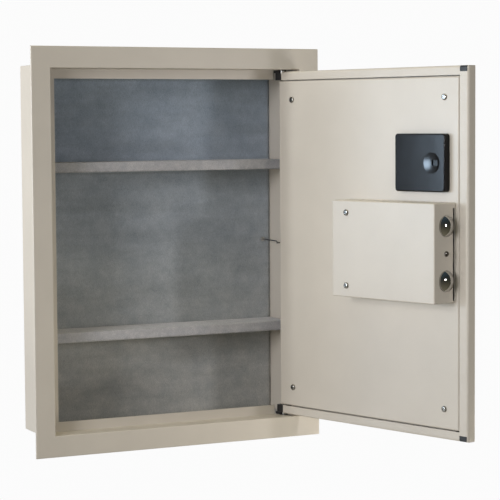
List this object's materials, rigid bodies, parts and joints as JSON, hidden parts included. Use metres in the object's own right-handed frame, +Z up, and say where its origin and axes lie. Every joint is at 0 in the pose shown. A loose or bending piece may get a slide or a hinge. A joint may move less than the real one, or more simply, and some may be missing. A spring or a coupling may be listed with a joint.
{
  "type": "wall safe",
  "caption": "Flush wall safe with a picture-frame flange, swinging door with keypad, knob, key override and boltwork, and felt-lined shelves.",
  "frame": {"origin": "centre of the wall opening, in the plane of the wall surface where the back of the flange rests", "axes": "+X to the right seen from the room, +Y into the wall, +Z up"},
  "size_m": [0.4603, 0.3967, 0.514],
  "materials": {
    "cream_paint": "satin powder coat",
    "felt": "grey needle felt",
    "shelf_felt": "light grey needle felt",
    "zinc_steel": "zinc plated",
    "spring_steel": "dark spring wire",
    "black_nylon": "moulded, matt",
    "chrome": "polished",
    "black_gloss": "moulded, glossy",
    "knob_plastic": "moulded, satin",
    "brass": "turned",
    "copper_coil": "enamelled winding under tape",
    "circuit_board": "solder resist",
    "light_lens": "translucent lens",
    "cell_wrap": "plain sleeve",
    "contact_metal": "nickel plated",
    "key_plastic": "moulded, satin"
  },
  "bodies": {
    "housing": {"body_shell": "cream_paint", "front_frame": "cream_paint", "felt_back": "felt", "felt_floor": "felt", "upper_shelf": "cream_paint", "lower_shelf": "cream_paint", "shelf_felts": "shelf_felt", "shelf_pins": "zinc_steel", "hinge_pins": "zinc_steel", "hinge_washers": "black_nylon", "stay_anchor": "zinc_steel", "stay_wire": "spring_steel"},
    "door": {"door_pan": "cream_paint", "hinge_blocks": "black_nylon", "corner_bumpers": "black_nylon", "inner_panel": "cream_paint", "panel_posts": "zinc_steel", "panel_screws": "zinc_steel", "bolt_box_cover": "cream_paint", "box_base": "zinc_steel", "box_posts": "zinc_steel", "box_screws": "zinc_steel", "side_screw": "zinc_steel", "bolt_guide": "zinc_steel", "guide_posts": "zinc_steel", "knob_collar": "knob_plastic", "spindle_bush": "brass", "lock_body": "chrome", "cover_pivot": "zinc_steel", "keypad_housing": "black_gloss", "keypad_board": "circuit_board", "indicator_lights": "light_lens", "battery_tray": "black_nylon", "battery_cells": "cell_wrap", "battery_contacts": "contact_metal", "solenoid_frame": "zinc_steel", "solenoid_coil": "copper_coil", "control_board": "circuit_board"},
    "knob": {"knob": "knob_plastic", "knob_spindle": "zinc_steel", "drive_cam": "zinc_steel"},
    "bolts": {"bolt_carriage": "zinc_steel", "locking_bolts": "chrome"},
    "plunger": {"solenoid_plunger": "zinc_steel"},
    "lock_plug": {"lock_plug": "chrome"},
    "lock_cover": {"lock_cover": "chrome"},
    "battery_cover": {"battery_cover": "black_gloss"},
    "cover_latch": {"cover_latch": "black_gloss"},
    "key_1": {"key_1": "key_plastic"},
    "key_2": {"key_2": "key_plastic"},
    "key_3": {"key_3": "key_plastic"},
    "key_4": {"key_4": "key_plastic"},
    "key_5": {"key_5": "key_plastic"},
    "key_6": {"key_6": "key_plastic"},
    "key_7": {"key_7": "key_plastic"},
    "key_8": {"key_8": "key_plastic"},
    "key_9": {"key_9": "key_plastic"},
    "key_enter": {"key_enter": "key_plastic"},
    "key_0": {"key_0": "key_plastic"},
    "key_clear": {"key_clear": "key_plastic"}
  },
  "joints": [
    {"name": "door_swing", "type": "hinge", "parent": "housing", "child": "door", "pos_m": [0.157, 0.0185, 0], "axis": [0, 0, 1], "range_deg": [-106.7, 0], "deforming": ["stay_wire"]},
    {"name": "knob_turn", "type": "hinge", "parent": "door", "child": "knob", "pos_m": [0.23128, -0.2291, 0.0023], "axis": [0.9578, 0.2874, 0], "range_deg": [0, 90]},
    {"name": "bolt_throw", "type": "slide", "parent": "door", "child": "bolts", "axis": [0.2874, -0.9578, 0], "range_m": [0, 0.0165]},
    {"name": "plunger_pull", "type": "slide", "parent": "door", "child": "plunger", "axis": [0, 0, 1], "range_m": [0, 0.0035], "stiffness_N_per_m": 200, "springref_m": -0.006},
    {"name": "override_plug_turn", "type": "hinge", "parent": "door", "child": "lock_plug", "pos_m": [0.21016, -0.1587, 0.0023], "axis": [0.9578, 0.2874, 0], "range_deg": [0, 90]},
    {"name": "lock_cover_swing", "type": "hinge", "parent": "door", "child": "lock_cover", "pos_m": [0.21016, -0.1587, 0.0193], "axis": [0.9578, 0.2874, 0], "range_deg": [0, 110]},
    {"name": "battery_cover_open", "type": "hinge", "parent": "door", "child": "battery_cover", "pos_m": [0.21167, -0.19364, 0.1105], "axis": [0, 0, -1], "range_deg": [0, 90]},
    {"name": "cover_latch_slide", "type": "slide", "parent": "battery_cover", "child": "cover_latch", "axis": [-0.2874, 0.9578, 0], "range_m": [0, 0.0015], "stiffness_N_per_m": 400, "springref_m": -0.001},
    {"name": "press_1", "type": "slide", "parent": "door", "child": "key_1", "axis": [-0.9578, -0.2874, 0], "range_m": [0, 0.001], "stiffness_N_per_m": 400, "springref_m": -0.001},
    {"name": "press_2", "type": "slide", "parent": "door", "child": "key_2", "axis": [-0.9578, -0.2874, 0], "range_m": [0, 0.001], "stiffness_N_per_m": 400, "springref_m": -0.001},
    {"name": "press_3", "type": "slide", "parent": "door", "child": "key_3", "axis": [-0.9578, -0.2874, 0], "range_m": [0, 0.001], "stiffness_N_per_m": 400, "springref_m": -0.001},
    {"name": "press_4", "type": "slide", "parent": "door", "child": "key_4", "axis": [-0.9578, -0.2874, 0], "range_m": [0, 0.001], "stiffness_N_per_m": 400, "springref_m": -0.001},
    {"name": "press_5", "type": "slide", "parent": "door", "child": "key_5", "axis": [-0.9578, -0.2874, 0], "range_m": [0, 0.001], "stiffness_N_per_m": 400, "springref_m": -0.001},
    {"name": "press_6", "type": "slide", "parent": "door", "child": "key_6", "axis": [-0.9578, -0.2874, 0], "range_m": [0, 0.001], "stiffness_N_per_m": 400, "springref_m": -0.001},
    {"name": "press_7", "type": "slide", "parent": "door", "child": "key_7", "axis": [-0.9578, -0.2874, 0], "range_m": [0, 0.001], "stiffness_N_per_m": 400, "springref_m": -0.001},
    {"name": "press_8", "type": "slide", "parent": "door", "child": "key_8", "axis": [-0.9578, -0.2874, 0], "range_m": [0, 0.001], "stiffness_N_per_m": 400, "springref_m": -0.001},
    {"name": "press_9", "type": "slide", "parent": "door", "child": "key_9", "axis": [-0.9578, -0.2874, 0], "range_m": [0, 0.001], "stiffness_N_per_m": 400, "springref_m": -0.001},
    {"name": "press_enter", "type": "slide", "parent": "door", "child": "key_enter", "axis": [-0.9578, -0.2874, 0], "range_m": [0, 0.001], "stiffness_N_per_m": 400, "springref_m": -0.001},
    {"name": "press_0", "type": "slide", "parent": "door", "child": "key_0", "axis": [-0.9578, -0.2874, 0], "range_m": [0, 0.001], "stiffness_N_per_m": 400, "springref_m": -0.001},
    {"name": "press_clear", "type": "slide", "parent": "door", "child": "key_clear", "axis": [-0.9578, -0.2874, 0], "range_m": [0, 0.001], "stiffness_N_per_m": 400, "springref_m": -0.001}
  ],
  "couplings": [
    {"joint": "knob_turn", "follows": "bolt_throw", "rad_per_m": 95.199}
  ]
}
